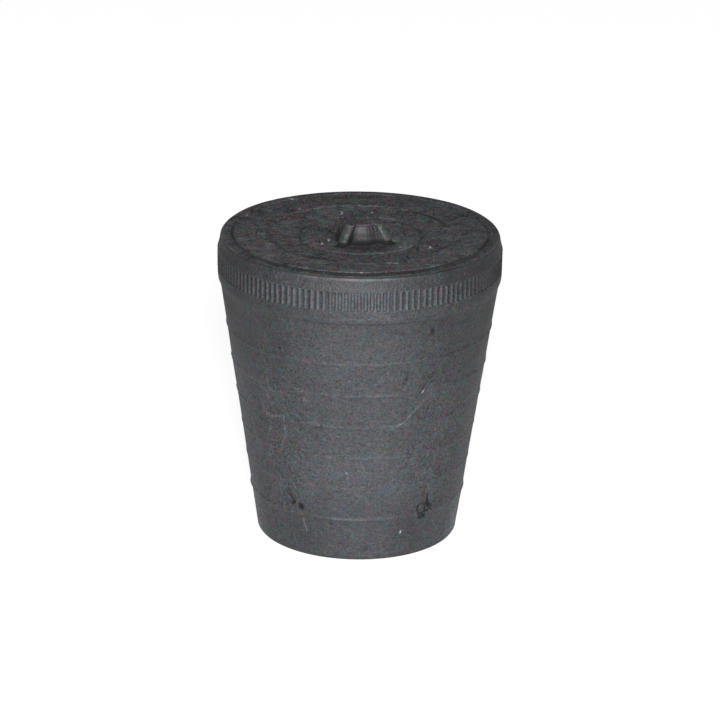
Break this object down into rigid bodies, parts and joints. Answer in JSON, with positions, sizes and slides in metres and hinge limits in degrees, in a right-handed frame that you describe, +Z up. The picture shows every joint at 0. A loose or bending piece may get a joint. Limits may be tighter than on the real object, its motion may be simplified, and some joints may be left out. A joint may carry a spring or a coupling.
{
  "type": "rubber stopper",
  "caption": "Tapered rubber stopper that plugs a round opening, with fine ring lines round the taper, a knurled collar and a small ribbed boss on top.",
  "frame": {"origin": "centre of the flat face of the narrow end, on which the stopper stands", "axes": "+Z up along the stopper's axis, from the narrow end to the boss; -Y is the front"},
  "size_m": [0.052, 0.052, 0.0596],
  "materials": {
    "rubber": "matt moulded rubber, aged and lightly scuffed"
  },
  "bodies": {
    "root": {"stopper": "rubber"}
  },
  "joints": []
}
